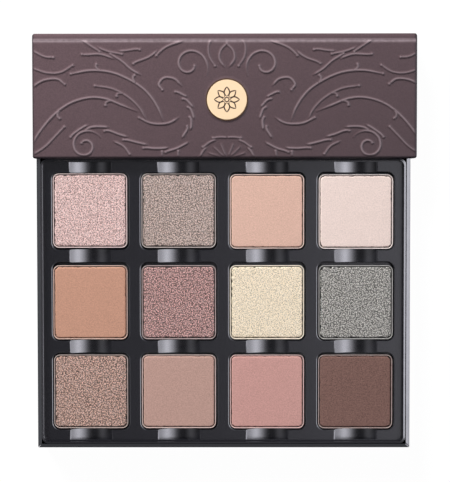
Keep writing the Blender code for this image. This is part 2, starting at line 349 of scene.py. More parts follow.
def black_paper():
    paper = Shader("black_paper", (26, 29, 31), 0.24, specular=1.0)
    paper.set("IOR", 1.7)
    paper.tint(paper.remap(paper.noise(1.5, 3.0), 0.3, 0.7, 0.0, 0.6), (31, 34, 36))
    paper.tint(paper.remap(paper.attribute("wear_and_highlight"), 0.35, 0.9, 0.0, 0.9), (225, 225, 225))
    paper.drive("Roughness", paper.remap(paper.noise(3.0, 3.0), 0.3, 0.7, 0.22, 0.27))
    paper.bump(paper.noise(2.5, 2.0), 0.012)
    return paper.material


def black_plastic():
    plastic = Shader("black_plastic", (16, 16, 20), 0.24, specular=1.0)
    plastic.set("IOR", 1.7)
    plastic.tint(plastic.remap(plastic.noise(5.0, 3.0), 0.35, 0.7, 0.0, 0.5), (21, 21, 25))
    plastic.drive("Roughness", plastic.remap(plastic.noise(0.6, 3.0), 0.3, 0.7, 0.21, 0.27))
    plastic.bump(plastic.noise(2.0, 2.0), 0.006)
    return plastic.material


def tinplate(place, dust):
    """Tin with fine scratches and a film of the pan's own powder on it."""
    metal = Shader(f"tinplate_{place}", (240, 236, 230), 0.36, metallic=1.0)
    metal.tint(metal.remap(metal.noise(0.7, 3.0), 0.4, 0.7, 0.0, 0.4), (206, 200, 194))
    film = metal.product(metal.remap(metal.noise(0.9, 3.0), 0.3, 0.65, 0.7, 1.0),
                         metal.attribute("dusted"))
    metal.tint(film, tuple(0.75 * channel + 0.25 * 255 for channel in dust))
    metal.drive("Metallic", metal.remap(film, 0.0, 1.0, 1.0, 0.1))
    metal.drive("Roughness", metal.remap(film, 0.0, 1.0, 0.3, 0.6))
    metal.bump(metal.noise(0.8, 2.0), 0.006)
    return metal.material


def matte_powder(name, rgb):
    """Fine mottling, stronger on dark shades."""
    powder = Shader(name, rgb, 0.9, specular=0.2)
    mottle = 0.11 * (215 / max(rgb)) ** 2
    powder.tint(powder.remap(powder.noise(0.45, 3.0), 0.3, 0.7, 0.0, 0.9), shade(rgb, 1 - 1.2 * mottle))
    powder.tint(powder.remap(powder.noise(0.16, 2.0), 0.55, 0.75, 0.0, 0.8), shade(rgb, 1 + mottle))
    powder.tint(powder.remap(powder.noise(7.0, 2.0), 0.4, 0.75, 0.0, 0.3), shade(rgb, 0.95))
    # painted shade in the trench inside the pan's rim
    powder.tint(powder.attribute("trench"), shade(rgb, 0.45))
    powder.bump(powder.noise(0.4, 3.0), 0.03)
    return powder.material


def shimmer_powder(name, rgb, coarseness, contrast):
    """Pearl flakes with their sparkle painted into the colour: bright dots and pale specks are painted
    glints, with dark dots and specks between them, over a ground of uneven tone.
    """
    powder = Shader(name, rgb, 0.5, metallic=0.1, specular=0.5)
    _grain, dark = powder.cells(0.5 * coarseness)
    grain, bright = powder.cells(0.58 * coarseness)
    fine, _middle = powder.cells(0.2)
    powder.tint(powder.remap(grain, 0.0, 0.6, 0.3, 0.0), shade(rgb, 1 - 0.3 * contrast))
    powder.tint(powder.remap(dark, 0.15, 0.42, 1.0, 0.0), shade(rgb, 1 - 0.75 * contrast))
    # painted glints of the flakes: bright dots here, pale specks two lines below
    powder.tint(powder.remap(bright, 0.12, 0.4, 1.0, 0.0), shade(rgb, 1 + 0.75 * contrast))
    glint = tuple(0.55 * channel + 0.45 * sum(rgb) / 3 for channel in rgb)
    powder.tint(powder.remap(fine, 0.7, 1.0, 0.0, 0.8), shade(glint, 1 + 0.5 * contrast))
    powder.tint(powder.remap(fine, 0.0, 0.3, 0.7, 0.0), shade(rgb, 1 - 0.45 * contrast))
    # painted shade in the trench inside the pan's rim
    powder.tint(powder.attribute("trench"), shade(rgb, 0.45))
    powder.drive("Roughness", powder.remap(fine, 0.0, 1.0, 0.35, 0.65))
    powder.bump(fine, 0.02)
    return powder.material


def greyboard():
    board = Shader("greyboard", (150, 143, 132), 0.95, specular=0.2)
    board.tint(board.remap(board.noise(0.4, 4.0), 0.35, 0.65, 0.0, 0.7), (128, 121, 110))
    board.tint(board.remap(board.noise(1.5, 3.0, stretch=(1, 4, 4)), 0.62, 0.75, 0.0, 0.6), (176, 168, 154))
    board.bump(board.noise(0.3, 4.0), 0.05)
    return board.material


def magnet_rubber():
    rubber = Shader("magnet_rubber", (40, 38, 37), 0.6)
    rubber.tint(rubber.remap(rubber.noise(0.5, 3.0), 0.35, 0.65, 0.0, 0.7), (50, 47, 45))
    rubber.bump(rubber.noise(1.8, 1.0, stretch=(1, 0.02, 1)), 0.04)
    return rubber.material


def lining_paper():
    paper = Shader("lining_paper", (38, 35, 36), 0.8, specular=0.3)
    paper.tint(paper.remap(paper.noise(0.4, 4.0), 0.35, 0.65, 0.0, 0.7), (50, 46, 47))
    paper.bump(paper.noise(0.25, 3.0), 0.03)
    return paper.material


def cream_foil():
    foil = Shader("cream_foil", (243, 214, 177), 0.38, metallic=0.1, specular=0.6)
    foil.tint(foil.remap(foil.noise(0.5, 3.0), 0.35, 0.65, 0.0, 0.4), (246, 214, 168))
    foil.bump(foil.noise(0.3, 3.0), 0.01)
    return foil.material


def dark_gold():
    gold = Shader("dark_gold", (96, 72, 50), 0.4, metallic=0.5)
    gold.tint(gold.remap(gold.noise(0.4, 3.0), 0.35, 0.65, 0.0, 0.5), (78, 56, 40))
    return gold.material


def dark_ink():
    ink = Shader("dark_ink", (58, 38, 32), 0.5)
    ink.tint(ink.remap(ink.noise(0.3, 3.0), 0.4, 0.7, 0.0, 0.5), (74, 50, 42))
    return ink.material


# ---------------------------------------------------------------- tray

def tray_wrap(material):
    """Paper over the tray: rounded rim with a folded mitre at each corner."""
    size = node_box("tray_wrap")[1]
    half_x, half_y, height = size[0] / 2, size[1] / 2, size[2]
    base = node_foot("tray_wrap")
    profile = [(0.8, 0.0), (0.25, 0.0), (0.0, 0.25)]
    profile += [(0.0, height * share) for share in (0.3, 0.6, 0.85)]
    profile += [(0.14 * (1 - math.cos(turn)), height - RIM_FALL - 0.2 * (1 - math.sin(turn)))
                for turn in (math.radians(angle) for angle in (0, 15, 30, 45, 58, 68, 75))]
    profile += [(0.5, height - 0.26), (0.75, height - 0.18), (1.0, height - 0.1), (1.3, height),
                (1.33, height - 0.03), (1.33, height - 0.25), (TRAY_WALL, height - 0.5)]
    inner = TRAY_WALL - TRAY_PAPER
    under = height - 0.6
    profile += [(TRAY_WALL, height / 2), (TRAY_WALL, TRAY_FLOOR), (inner, TRAY_FLOOR), (inner, under),
                (TRAY_PAPER, under), (TRAY_PAPER, TRAY_PAPER)]
    loops = []
    wear_and_highlight = []
    for inset, z in profile:
        radius = max(0.42 - inset, 0.12)
        path = rounded_path(half_x - inset, half_y - inset, radius, 4, 90, gather=True)
        on_rim = z > height - 0.45
        loop = []
        for x, y in path:
            mitre = abs((half_x - abs(x)) - (half_y - abs(y)))
            near_corner = half_x - abs(x) < 2 * TRAY_WALL and half_y - abs(y) < 2 * TRAY_WALL
            fold = 0.1 * math.exp(-(mitre / 0.2) ** 2) if near_corner and on_rim else 0.0
            wave = 0.005 * noise.noise(Vector((x * 0.12, y * 0.12, 3.0))) if on_rim else 0.0
            loop.append((x, y, min(z - fold + wave, height)))
            corner_distance = math.hypot(half_x - abs(x), half_y - abs(y))
            worn_and_lit = math.exp(-(mitre / 0.16) ** 2) + 0.5 * math.exp(-(corner_distance / 0.5) ** 2)
            wear_and_highlight.append(worn_and_lit * math.exp(-(corner_distance / 1.5) ** 4) if on_rim else 0.0)
        loops.append(loop)
    wrap = loft("tray_paper_wrap", loops, base, sharp_degrees=50)
    wrap.data.attributes.new("wear_and_highlight", "FLOAT", "POINT").data.foreach_set("value", wear_and_highlight)
    dress(wrap, material, "tray_wrap", "tray")


def channel_cutter(centre_x, reach, deck):
    """Bar with a round underside and flared edges, as long as the recess."""
    half, depth, edge = CHANNEL_WIDTH / 2, CHANNEL_DEPTH, CHANNEL_EDGE_ROUND
    sweep = 2 * math.atan(depth / half)
    radius = half / math.sin(sweep) - edge
    arc = [(radius * math.sin(turn), deck - depth + radius * (1 - math.cos(turn)))
           for turn in np.linspace(-sweep, sweep, 37)]
    flare = [(half - edge * math.sin(turn), deck - edge * (1 - math.cos(turn)))
             for turn in np.linspace(sweep, 0.1, 8)[1:]]
    right = flare + [(flare[-1][0], deck + 1.2)]
    left = [(-x, z) for x, z in reversed(right)]
    section = left + arc + right
    loops = [[(centre_x + x, y, z) for x, z in section] for y in (-reach, reach)]
    return loft("channel_cutter", loops, (0, 0, 0))


def well_cutter(centre_x, centre_y, length, deck):
    """Rounded box with a filleted floor and a flared mouth."""
    half_x, half_y = WELL_WIDTH / 2, length / 2
    floor = deck - WELL_DEPTH
    profile = [(0.3, floor), (0.0, floor + 0.3), (0.0, deck - WELL_EDGE_ROUND)]
    for step in range(1, 7):
        turn = math.radians(85 * step / 6)
        profile.append((-WELL_EDGE_ROUND * (1 - math.cos(turn)),
                        deck - WELL_EDGE_ROUND * (1 - math.sin(turn))))
    profile.append((profile[-1][0], deck + 1.4))
    loops = []
    for inset, z in profile:
        path = rounded_path(half_x - inset, half_y - inset, WELL_CORNER - inset, 10, 3)
        loops.append([(centre_x + x, centre_y + y, z) for x, y in path])
    return loft("well_cutter", loops, (0, 0, 0))


def tray_insert(material):
    """Moulded insert: raised lip, sunk deck, twelve wells and four finger channels."""
    size = node_box("tray_insert")[1]
    half_x, half_y, height = size[0] / 2, size[1] / 2, size[2]
    base = node_foot("tray_insert")
    deck = height - DECK_BELOW_LIP
    profile = [(0.0, 0.0), (0.0, height - 0.9)]
    profile += [(0.0, height - 0.17), (0.01, height - 0.155), (0.2, height - 0.11),
                (0.4, height - 0.05), (0.55, height - 0.012), (0.62, height), (0.67, height - 0.01),
                (LIP_WIDTH, height - 0.07), (LIP_WIDTH + 0.03, deck + 0.12), (LIP_WIDTH + 0.15, deck)]
    loops = []
    for inset, z in profile:
        path = rounded_path(half_x - inset, half_y - inset, INSERT_CORNER - inset, 10, 12)
        lean = LIP_LEAN * min(1.0, inset / LIP_WIDTH)
        loop = []
        for x, y in path:
            steeper = 1 + LIP_LEAN / LIP_WIDTH * x / half_x if height - 0.5 < z else 1.0
            loop.append((x - lean, y, height - (height - z) * steeper))
        loops.append(loop)
    insert = loft("tray_insert_moulding", loops, (0, 0, 0), sharp_degrees=38)
    cutters = bpy.data.collections.new("insert_cutters")
    bpy.context.scene.collection.children.link(cutters)
    reach = half_y - LIP_WIDTH - 0.45
    made = [channel_cutter(x, reach, deck) for x in COLUMN_CENTRES]
    made += [well_cutter(x, y, length, deck) for x in COLUMN_CENTRES for y, length in WELL_ROWS]
    for cutter in made:
        bpy.context.collection.objects.unlink(cutter)
        cutters.objects.link(cutter)
    cut = insert.modifiers.new("wells", "BOOLEAN")
    cut.operation = "DIFFERENCE"
    cut.solver = "EXACT"
    cut.operand_type = "COLLECTION"
    cut.collection = cutters
    bpy.context.view_layer.update()
    ready = insert.evaluated_get(bpy.context.evaluated_depsgraph_get())
    result = bpy.data.meshes.new_from_object(ready)
    insert.modifiers.clear()
    insert.data = result
    for cutter in made:
        bpy.data.objects.remove(cutter, do_unlink=True)
    bpy.data.collections.remove(cutters)
    result.transform(Matrix.Translation(base))
    result.materials.clear()
    result.shade_smooth()
    result.set_sharp_from_angle(angle=math.radians(38))
    weigh = insert.modifiers.new("even_shading", "WEIGHTED_NORMAL")
    weigh.keep_sharp = True
    dress(insert, material, "tray_insert", "tray")


# ---------------------------------------------------------------- pans and powders

def pan(place, material):
    """Stamped pan with bent floor edge and a rolled rim."""
    node = f"pan_{place}"
    centre, size = node_box(node)
    half, height = size[0] / 2, size[2]
    base = node_foot(node)
    profile = [(1.2, 0.0)] + [(PAN_BEND - a, b) for a, b in quarter_round(PAN_BEND, PAN_BEND, 4)]
    profile.append((0.0, height - 2 * RIM_ROLL - 0.1))
    profile += [(RIM_ROLL * (1 - math.cos(turn)), height - RIM_ROLL * (1 - math.sin(turn)))
                for turn in (math.radians(180 * step / 10) for step in range(11))]
    profile += [(PAN_WALL, height / 2), (PAN_WALL, 0.55), (PAN_WALL + 0.25, 0.3)]
    loops = []
    dusted = []
    for index, (inset, z) in enumerate(profile):
        path = rounded_path(half - inset, half - inset, PAN_CORNER - inset * 0.9, 8, 10)
        dusted += [0.0 if index < 9 else 1.0] * len(path)
        loop = []
        for x, y in path:
            dent = 0.02 * noise.noise(Vector((x * 0.35 + centre.x / MM, y * 0.35 + centre.y / MM, z)))
            loop.append((x * (1 - abs(dent) / half), y * (1 - abs(dent) / half), z))
        loops.append(loop)
    made = loft(f"tin_{place}", loops, base)
    made.data.attributes.new("dusted", "FLOAT", "POINT").data.foreach_set("value", dusted)
    dress(made, material, node, node)


def powder(place, material, slot, crumble):
    """Pressed cake with a crumbled shoulder and a shallow trench inside the pan's rim."""
    node = f"powder_{place}"
    centre, size = node_box(node)
    half, height = size[0] / 2, size[2]
    base = node_foot(node)
    shoulder = quarter_round(*POWDER_SHOULDER, 5)
    shoulder_end = POWDER_SET_BACK + POWDER_SHOULDER[0]
    profile = [(0.0, 0.0), (0.0, height - TRENCH_DEPTH), (POWDER_SET_BACK, height - TRENCH_DEPTH)]
    profile += [(shoulder_end - a, height - b) for a, b in reversed(shoulder)]
    top_insets = (1.1, 1.7, 2.5, 3.5, 4.7, 6.0, 7.4, 8.8, 10.2, 11.5, 12.4)
    profile += [(inset, height) for inset in top_insets]
    loops = []
    trench = []
    for index, (inset, z) in enumerate(profile):
        radius = max(PAN_CORNER - PAN_WALL - POWDER_PLAY - inset * 0.8, 0.25)
        path = rounded_path(half - inset, half - inset, min(radius, half - inset - 0.05), 12, 60)
        loop = []
        for x, y in path:
            spot = Vector((x + centre.x / MM, y + centre.y / MM, 0.0))
            bite = max(0.0, noise.noise(spot * 1.9) * 0.5 + noise.noise(spot * 0.8) * 0.6) * crumble
            eaten = bite if 2 < index < 9 else bite * 0.4 if index == 2 else 0.0
            pull = 1 - eaten / half
            sag = 0.035 * noise.noise(spot * 0.22) - 0.02 if index > 3 else 0.0
            loop.append((x * pull, y * pull, min(z + sag, height)))
            # how much painted shade the trench and the foot of the shoulder get
            trench.append(1.0 if index < 3 else 0.55 if index == 3 else 0.0)
        loops.append(loop)
    made = loft(f"cake_{place}", loops, base, sharp_degrees=55)
    made.data.attributes.new("trench", "FLOAT", "POINT").data.foreach_set("value", trench)
    dress(made, material, node, f"pan_{place}")


# Place, name, colour, and for a shimmering powder its coarseness and contrast
POWDERS = (
    ("row1_col1", "pale_pink_shimmer", (211, 178, 172), (1.0, 1.15)),
    ("row1_col2", "taupe_shimmer", (148, 131, 123), (1.0, 0.87)),
    ("row1_col3", "peach_matte", (216, 178, 161), None),
    ("row1_col4", "cream_matte", (231, 211, 202), None),
    ("row2_col1", "terracotta_matte", (193, 147, 125), None),
    ("row2_col2", "mauve_brown_shimmer", (134, 105, 101), (1.0, 1.22)),
    ("row2_col3", "pale_gold_shimmer", (244, 227, 198), (0.95, 0.6)),
    ("row2_col4", "green_grey_shimmer", (121, 119, 114), (1.0, 1.22)),
    ("row3_col1", "bronze_shimmer", (141, 115, 104), (1.0, 1.26)),
    ("row3_col2", "taupe_pink_matte", (188, 153, 141), None),
    ("row3_col3", "dusty_rose_matte", (201, 154, 146), None),
    ("row3_col4", "dark_brown_matte", (130, 100, 92), None),
)


def pans_and_powders():
    for place, name, rgb, grains in POWDERS:
        pan(place, tinplate(place, rgb))
        slot = f"powder_{name}"
        made = matte_powder(slot, rgb) if grains is None else shimmer_powder(slot, rgb, *grains)
        powder(place, made, slot, 0.5 if grains is None else 1.0)


# ---------------------------------------------------------------- sleeve relief

def spline(points, step=0.15):
    """Points every `step` millimetres or so along a Catmull-Rom curve through the given ones."""
    knots = [np.array(point, float) for point in points]
    knots = [2 * knots[0] - knots[1]] + knots + [2 * knots[-1] - knots[-2]]
    path = []
    for a, b, c, d in zip(knots, knots[1:], knots[2:], knots[3:]):
        count = max(2, int(np.linalg.norm(c - b) / step))
        for share in np.arange(count) / count:
            path.append(0.5 * (2 * b + (c - a) * share + (2 * a - 5 * b + 4 * c - d) * share ** 2
                               + (3 * b - a - 3 * c + d) * share ** 3))
    path.append(knots[-2])
    return np.array(path)


def volute(centre, outer, inner, start_degrees, sweep_degrees):
    """A scroll that winds in from the outer radius to the inner one."""
    count = int(abs(sweep_degrees) / 3)
    share = np.arange(count + 1) / count
    turn = np.radians(start_degrees + sweep_degrees * share)
    radius = outer * (inner / outer) ** share
    return np.stack([centre[0] + radius * np.cos(turn), centre[1] + radius * np.sin(turn)], 1)


def sideways(path):
    """Unit vectors to the left of a path, and how far along it each point lies, 0 to 1."""
    along = np.gradient(path, axis=0)
    length = np.linalg.norm(along, axis=1)
    side = np.stack([-along[:, 1], along[:, 0]], 1) / length[:, None]
    return side, np.cumsum(length) / length.sum()


def lobes(path, count, depth):
    """Leaf edge along a path: overlapping lobes, each ending in a small outward hook."""
    side, share = sideways(path)
    made = []
    for lobe in range(count):
        start, end = lobe / count, min(1.0, (lobe + 1.15) / count)
        part = (share >= start) & (share <= end)
        run = (share[part] - start) / (end - start)
        bulge = depth * (0.8 * np.sin(run * math.pi / 2) + 0.7 * run ** 7)
        made.append(path[part] + side[part] * bulge[:, None])
    return made


def thorns(path, places, length):
    """Short hooked spurs that leave a path; a negative length turns them to its right."""
    side, share = sideways(path)
    made = []
    for place in places:
        index = int(np.searchsorted(share, place))
        outward = side[index] * length
        forward = np.array([side[index][1], -side[index][0]]) * abs(length)
        foot = path[index]
        made.append(spline([foot, foot + 0.55 * forward + 0.2 * outward,
                            foot + 0.9 * forward + 0.62 * outward,
                            foot + 0.85 * forward + 1.05 * outward]))
    return made


def scroll_strokes():
    """Right half of the scrollwork in millimetres from its axis and the sleeve's middle.
    Each entry is a path, which ends in a knob, and its strength."""
    stem = spline([(17.0, -7.6), (21, -9.6), (26.5, -9.6), (31, -7.6)])
    stem_on = spline([(31.6, -5.4), (37, -3.2), (43, -0.9), (49, -0.6), (55.5, -2.6),
                      (61, -6.6), (66, -12.4), (70, -19)])
    upper_band = spline([(22.5, -8.9), (24.6, -3.6), (28.6, 1.8), (34.4, 5.8), (41, 8.4),
                         (48, 9.0), (55, 7.8)])
    upper_on = spline([(70, 2.2), (65, 5.4), (60, 6.0), (57.2, 4.2)])
    upper_rise = spline([(70, 10.4), (63.5, 8.2), (58.5, 8.4), (54.4, 10.8)])
    vein = spline([(28.6, -8.4), (30.8, -4.2), (35, -0.2), (40.5, 2.6), (46.5, 3.6)])
    strokes = [(stem, 1.0), (stem_on, 1.0), (upper_band, 1.0), (upper_on, 1.0), (vein, 0.85),
               (upper_rise, 0.9)]
    leaf_top = spline([(30.4, 7.4), (34, 9.2), (38.5, 12.4), (44.4, 14.2), (51, 13.4)])
    groups = [(lobes(leaf_top, 2, 0.9), 0.95)]
    lower_leaf = spline([(13.5, -16.2), (19.4, -18.0), (26, -17.6), (32, -15.6), (37.5, -13.2),
                         (43, -10.6), (49.4, -10.2), (56, -13.0)])
    groups.append((lobes(lower_leaf, 6, -1.15), 1.0))
    collar = spline([(15.8, -14.8), (12.4, -11.0), (11.6, -6.0), (13.2, -1.4), (17.0, 2.6)])
    groups.append((lobes(collar, 5, -1.1), 1.0))
    spray = spline([(15.5, 19.4), (21.5, 17.8), (27.5, 14.2), (33.4, 12.6)])
    groups.append((lobes(spray, 2, -0.9), 0.95))
    canopy = spline([(52, 20.6), (45.5, 17.2), (38.5, 15.9), (31, 17.6)])
    groups.append((lobes(canopy, 3, 0.9), 0.9))
    groups.append((thorns(upper_band, (0.42, 0.74), 2.0), 0.9))
    groups.append((thorns(stem_on, (0.2, 0.62), -2.2), 0.9))
    groups.append((thorns(vein, (0.55,), -1.8), 0.8))
    for paths, strength in groups:
        strokes += [(path, strength) for path in paths]
    strokes.append((volute((50.0, -17.6), 6.2, 1.7, 150, -470), 1.0))
    strokes.append((spline([(70, -21.4), (64.5, -18.0), (60.5, -14.0), (57.4, -10.8)]), 0.9))
    strokes.append((volute((13.4, 11.0), 7.2, 2.0, 212, -380), 1.0))
    strokes.append((spline([(16.0, 3.6), (18.4, 6.0), (22.0, 6.4), (24.0, 4.2), (22.8, 2.2)]), 1.0))
    strokes.append((spline([(40, -15.9), (36.6, -17.6), (34.4, -20.4)]), 0.9))
    strokes.append((spline([(17.6, -24), (17.2, -19.4)]), 0.8))
    strokes.append((spline([(23.2, -24), (22.9, -19.6)]), 0.8))
    strokes.append((spline([(70, 17.0), (64.6, 14.0), (61.2, 13.6)]), 0.9))
    for rib, reach in ((18, 7.0), (40, 7.2), (64, 7.0)):
        turn = math.radians(90 - rib)
        foot = (1.6 * math.cos(turn), -22.6 + 1.6 * math.sin(turn))
        tip = (reach * math.cos(turn), -22.6 + reach * math.sin(turn) * 0.84)
        strokes.append((spline([foot, tip]), 0.7))
    fan = spline([(8.8 * math.sin(t), -22.6 + 8.0 * math.cos(t)) for t in (0.0, 0.4, 0.8, 1.2, 1.5)])
    strokes += [(path, 0.9) for path in lobes(fan, 3, 0.8)]
    strokes.append((spline([(0.8, 10.2), (2.6, 13.0), (2.2, 16.0), (0.0, 18.4)]), 0.9))
    strokes.append((spline([(4.4, 21.2), (6.4, 18.0), (6.2, 14.0), (4.2, 10.6)]), 0.8))
    return strokes


def relief_tree(axis_x):
    """Nearest-point lookup over all strokes, mirrored about the scrollwork's axis."""
    spots = []
    for path, strength in scroll_strokes():
        count = len(path)
        for index, (x, y) in enumerate(path):
            share = index / (count - 1)
            taper = min(1.0, 0.4 + 5.0 * share, 0.75 + 3.0 * (1 - share))
            spots.append((axis_x + x, y, strength * taper))
            spots.append((axis_x - x, y, strength * taper))
    tree = KDTree(len(spots))
    for index, (x, y, strength) in enumerate(spots):
        tree.insert((x, y, 0.0), index)
    tree.balance()
    return tree, [spot[2] for spot in spots]


def knob_tree(axis_x):
    """Lookup of the round knobs at the ends of the scrolls."""
    knobs = [path[-1] for path, strength in scroll_strokes() if strength > 0.75]
    tree = KDTree(2 * len(knobs))
    for x, y in knobs:
        tree.insert((axis_x + x, y, 0.0), 0)
        tree.insert((axis_x - x, y, 0.0), 0)
    tree.balance()
    return tree


def relief_height(tree, strengths, knobs, seat, x, y):
    """Height of the embossing in millimetres: a rounded ridge, a knob at its ends, and the
    raised round seat of the emblem."""
    _spot, index, distance = tree.find((x, y, 0.0))
    width = RIDGE_WIDTH * (0.55 + 0.5 * strengths[index])
    ridge = RIDGE_HEIGHT * strengths[index] * math.exp(-(distance / width) ** 3)
    _spot, _index, distance = knobs.find((x, y, 0.0))
    knob = RIDGE_HEIGHT * math.exp(-(distance / 0.55) ** 3)
    from_seat = math.hypot(x - seat[0], y - seat[1])
    boss = (FACE_SINK - 0.01) / (1 + math.exp((from_seat - seat[2] - 0.45) / 0.11))
    return max(ridge, knob, boss)


# ---------------------------------------------------------------- sleeve

def corner_arc(centre_x, centre_z, radius, start):
    """Points of a quarter turn, after its first one."""
    turns = [math.radians(start + 90 * step / 4) for step in range(1, 5)]
    return [(centre_x + radius * math.cos(turn), centre_z + radius * math.sin(turn)) for turn in turns]


def sleeve_section(half_x, half_z, inset, inset_top, inset_back):
    """Loop across the sleeve: fine points along the front, coarse ones elsewhere."""
    width = half_x - inset
    top = half_z - inset_top
    back_z = inset_back - half_z
    radius = max(SLEEVE_CORNER - inset, 0.1)
    front = int(2 * (half_x - SLEEVE_CORNER) / FACE_STEP)
    flat = width - radius
    loop = [(flat - 2 * flat * step / front, top) for step in range(front + 1)]
    side = [back_z + radius + (top - back_z - 2 * radius) * step / 12 for step in range(1, 12)]
    loop += corner_arc(-flat, top - radius, radius, 90)
    loop += [(-width, z) for z in reversed(side)]
    loop += corner_arc(-flat, back_z + radius, radius, 180)
    back = 60
    loop += [(-flat + 2 * flat * step / back, back_z) for step in range(1, back + 1)]
    loop += corner_arc(flat, back_z + radius, radius, 270)
    loop += [(width, z) for z in side]
    loop += corner_arc(flat, top - radius, radius, 0)
    loop.pop()
    return loop, front + 1


def sleeve_stations(half_y):
    """(inset of the sides, of the front and of the back, y) along the skin: turn-in, lower
    mouth, outer face, bevelled upper mouth, turn-in."""
    along, depth = MOUTH_ROUND
    share = (depth - FACE_SINK) / depth
    behind = SLEEVE_WALL - TURNED_PAPER
    turned_in = [(SLEEVE_WALL - 0.06, 0.1), (SLEEVE_WALL, 0.4), (SLEEVE_WALL, TURN_IN),
                 (behind, TURN_IN), (behind, 1.3), (SKIN_DEPTH, 2.2)]
    lower = [(inset, inset, inset, rest - half_y) for inset, rest in reversed(turned_in)]
    lower += [(b, FACE_SINK + b * share, b, along - a - half_y)
              for a, b in reversed(quarter_round(along, depth, 9))]
    upper = []
    for inset, rest in ((0.0, 2.0), *MOUTH_BEVEL):
        swept = max(0.0, 1 - rest / along)
        side = depth * (1 - math.sqrt(1 - swept ** 2))
        upper.append((side, FACE_SINK + inset * share, side, half_y - rest))
    upper += [(inset, inset, inset, half_y - rest) for inset, rest in turned_in]
    start, end = along - half_y, half_y - 2.0
    count = int((end - start) / FACE_STEP)
    face = [(0.0, FACE_SINK, 0.0, start + (end - start) * step / count) for step in range(1, count)]
    return lower + face + upper


def sleeve_wrap(material):
    centre, size = node_box("sleeve_wrap")
    half_x, half_y, half_z = size[0] / 2, size[1] / 2, size[2] / 2
    emblem = node_box("emblem_disc")[0]
    axis_x = (emblem.x - centre.x) / MM
    seat = (axis_x, (emblem.y - centre.y) / MM, node_box("emblem_disc")[1][0] / 2)
    tree, strengths = relief_tree(axis_x)
    knobs = knob_tree(axis_x)
    loops = []
    wear_and_highlight = []
    painted_shade = []
    for inset, inset_top, inset_back, y in sleeve_stations(half_y):
        section, front = sleeve_section(half_x, half_z, inset, inset_top, inset_back)
        inside_wall = inset == SKIN_DEPTH and abs(y) < half_y - 2
        outside = inset < SLEEVE_WALL - TURNED_PAPER and not inside_wall
        from_end = half_y - abs(y)
        bead = MOUTH_BEAD[1] * math.exp(-((half_y - y - MOUTH_BEAD[0]) / 0.26) ** 2)
        fade = min(1.0, max(0.0, (half_y - y - 2.3) / 0.6, -y / half_y)) * min(1.0, from_end / 1.4)
        loop = []
        for index, (x, z) in enumerate(section):
            rise = 0.0
            if index < front and outside:
                side = min(1.0, (half_x - abs(x)) / 1.2)
                relief = relief_height(tree, strengths, knobs, seat, x, y)
                sway = 0.02 * noise.noise(Vector((x * 0.08, y * 0.08, 1.0)))
                rise = side * (fade * relief + bead + sway)
            loop.append((x, y, min(z + rise, half_z + RIDGE_HEIGHT - FACE_SINK)))
            scuff = 0.5 + 0.8 * noise.noise(Vector((x * 0.9, y * 0.9, z * 0.9)))
            # real wear where the paper folds round the corners; painted highlight in a band along the upper
            # crease and on the crests of the relief
            fold = math.exp(-((half_x - abs(x)) / 0.35) ** 2) * math.exp(-((half_z - abs(z)) / 0.4) ** 2)
            lip = math.exp(-((half_y - y - 2.55) / 0.52) ** 2) if index < front else 0.0
            crest = max(0.0, rise / RIDGE_HEIGHT - 0.45) if index < front else 0.0
            worn_and_lit = 0.8 * fade * crest + 0.3 * scuff * fold + (0.7 + 0.4 * scuff) * lip
            wear_and_highlight.append(min(1.0, max(0.0, worn_and_lit)) if outside else 0.0)
            # painted shade: dark along the side edges, wider on the right, along the lower mouth and in a
            # band on the upper bevel
            rim = math.exp(-((half_x - abs(x)) / (0.9 if x > 0 else 0.6)) ** 4)
            rim += math.exp(-((half_y + y) / 0.75) ** 4) + 0.35 * math.exp(-((half_y - y - 1.5) / 0.5) ** 2)
            painted_shade.append(min(1.0, rim))
        loops.append(loop)
    wrap = loft("sleeve_embossed_paper", loops, centre, ring=True, sharp_degrees=60)
    wrap.data.attributes.new("wear_and_highlight", "FLOAT", "POINT").data.foreach_set("value", wear_and_highlight)
    wrap.data.attributes.new("painted_shade", "FLOAT", "POINT").data.foreach_set("value", painted_shade)
    dress(wrap, material, "sleeve_wrap", "sleeve")


def flat_shape(name, outlines, low, high, centre):
    """Raised flat shapes from closed outlines in millimetres: plain prisms in one piece."""
    points = []
    faces = []
    for outline in outlines:
        start = len(points)
        count = len(outline)
        points += [(x, y, low) for x, y in outline] + [(x, y, high) for x, y in outline]
        faces.append(tuple(range(start, start + count)))
        faces.append(tuple(range(start + count, start + 2 * count)))
        for index in range(count):
            turn = (index + 1) % count
            faces.append((start + index, start + turn, start + count + turn, start + count + index))
    return add_piece(name, points, faces, centre)


def ring_band(radius_out, radius_in, low, high, sides=96):
    """Loops of a flat ring, for a ring loft."""
    turns = [2 * math.pi * index / sides for index in range(sides)]
    stations = ((radius_out, low), (radius_out, high), (radius_in, high), (radius_in, low))
    return [[(r * math.cos(t), r * math.sin(t), z) for t in turns] for r, z in stations]


def stroke_outline(path, width):
    """Closed outline of a band of even width round a path, with pointed ends."""
    path = np.asarray(path, float)
    along = np.gradient(path, axis=0)
    side = np.stack([-along[:, 1], along[:, 0]], 1)
    side /= np.linalg.norm(side, axis=1)[:, None]
    share = np.linspace(0, 1, len(path))
    half = width / 2 * np.minimum(1.0, 0.3 + 5 * np.minimum(share, 1 - share))
    left = path + side * half[:, None]
    right = path - side * half[:, None]
    return [tuple(point) for point in np.concatenate([left, right[::-1]])]


def rosette_strokes():
    """Eight-petalled flower in line work, of this model's own design."""
    strokes = []
    for petal in range(8):
        turn = math.radians(45 * petal)
        for side in (-1, 1):
            path = []
            for step in range(13):
                share = step / 12
                out = 1.15 + 3.35 * share
                across = side * 0.98 * math.sin(math.pi * share ** 0.8)
                path.append((out * math.cos(turn) - across * math.sin(turn),
                             out * math.sin(turn) + across * math.cos(turn)))
            strokes.append(stroke_outline(path, 0.42))
    return strokes


